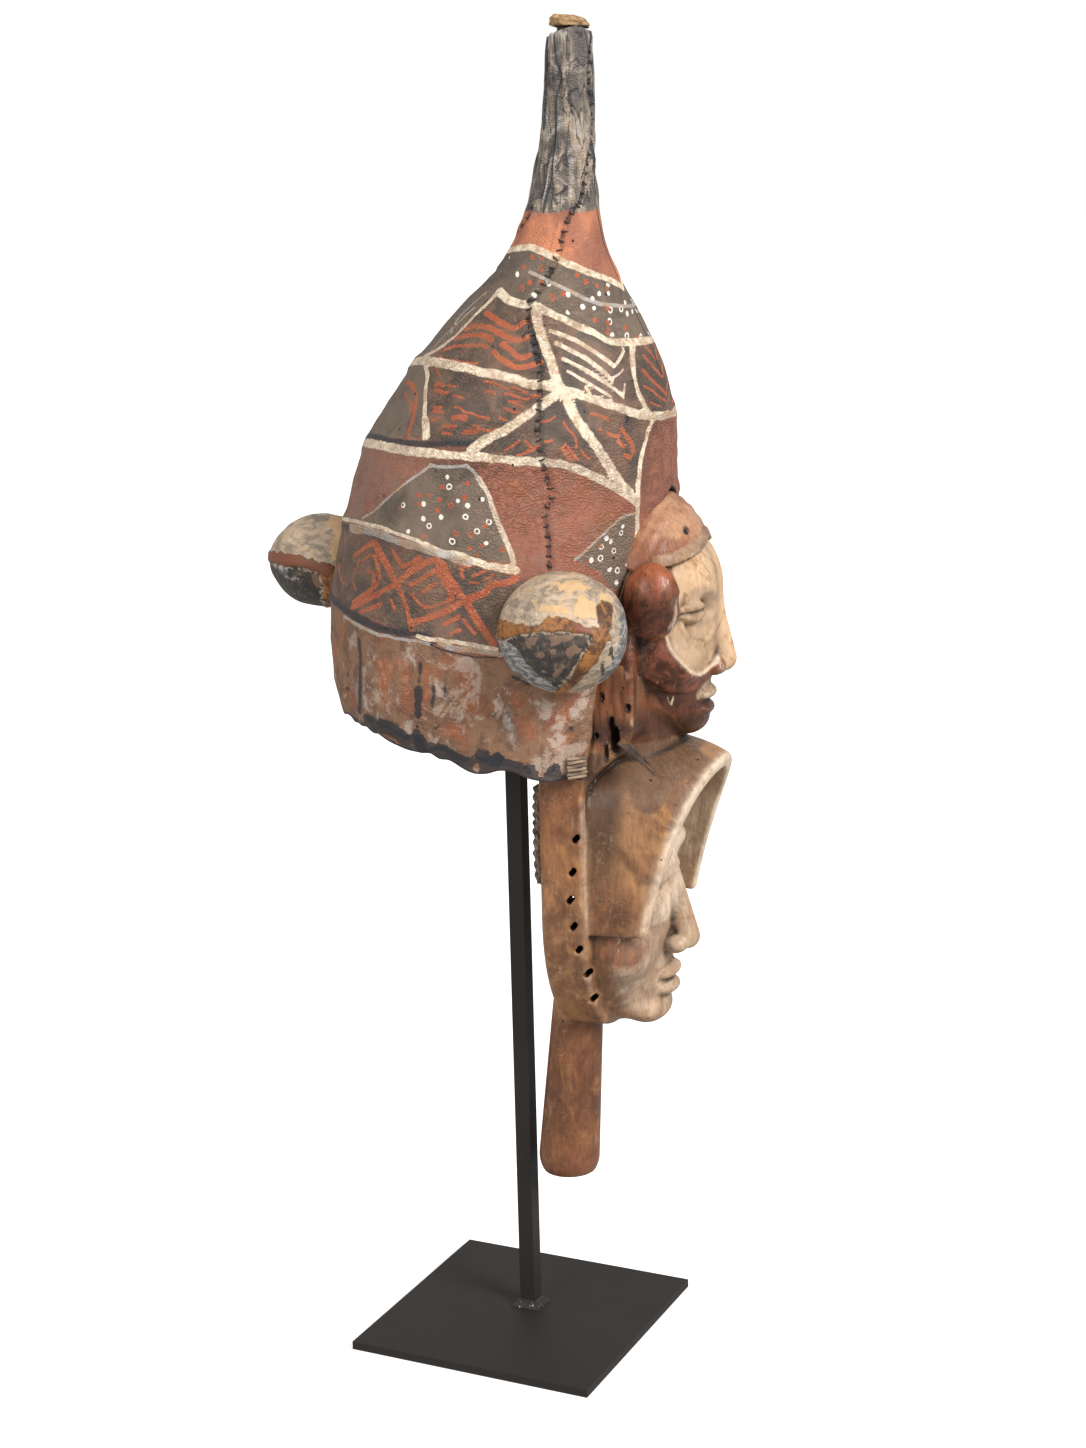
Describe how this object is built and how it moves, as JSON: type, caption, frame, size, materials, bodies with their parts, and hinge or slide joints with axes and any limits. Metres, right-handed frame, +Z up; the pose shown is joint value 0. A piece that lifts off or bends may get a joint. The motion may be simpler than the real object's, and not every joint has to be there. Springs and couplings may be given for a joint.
{
  "type": "headdress mask on a stand",
  "caption": "Carved wooden mask with two faces and a handle under a tall sewn, painted hood, held upright by a square steel post on a plate.",
  "frame": {"origin": "on the post's axis, at the underside of the base plate", "axes": "+Z up along the post, the faces look along -Y, +X is the mask's own left"},
  "size_m": [0.3358, 0.3475, 0.9484],
  "materials": {
    "black_steel": "black satin paint, scratched and rubbed",
    "weld": "rough painted weld with bright specks",
    "carved_wood": "worn hardwood with red ochre, white clay and dark patina",
    "painted_cloth": "bark cloth stiffened with resin, painted in red, white and dark grey",
    "pod_skin": "stiff skin over a pod, painted in ochre, grey and black quarters",
    "stopper_clay": "pale rough fibre and resin plug",
    "cane": "dry split cane",
    "fibre": "grey-brown plaited plant fibre",
    "dark_wood": "dark dry peg"
  },
  "bodies": {
    "root": {"base_plate": "black_steel", "post": "black_steel", "weld_bead": "weld", "carved_mask": "carved_wood", "headdress": "painted_cloth", "temple_bulb_right": "pod_skin", "temple_bulb_left": "pod_skin", "back_bulb": "pod_skin", "spire_stopper": "stopper_clay", "rim_canes_right": "cane", "rim_canes_left": "cane", "fibre_braid": "fibre", "wooden_pin": "dark_wood"}
  },
  "joints": []
}
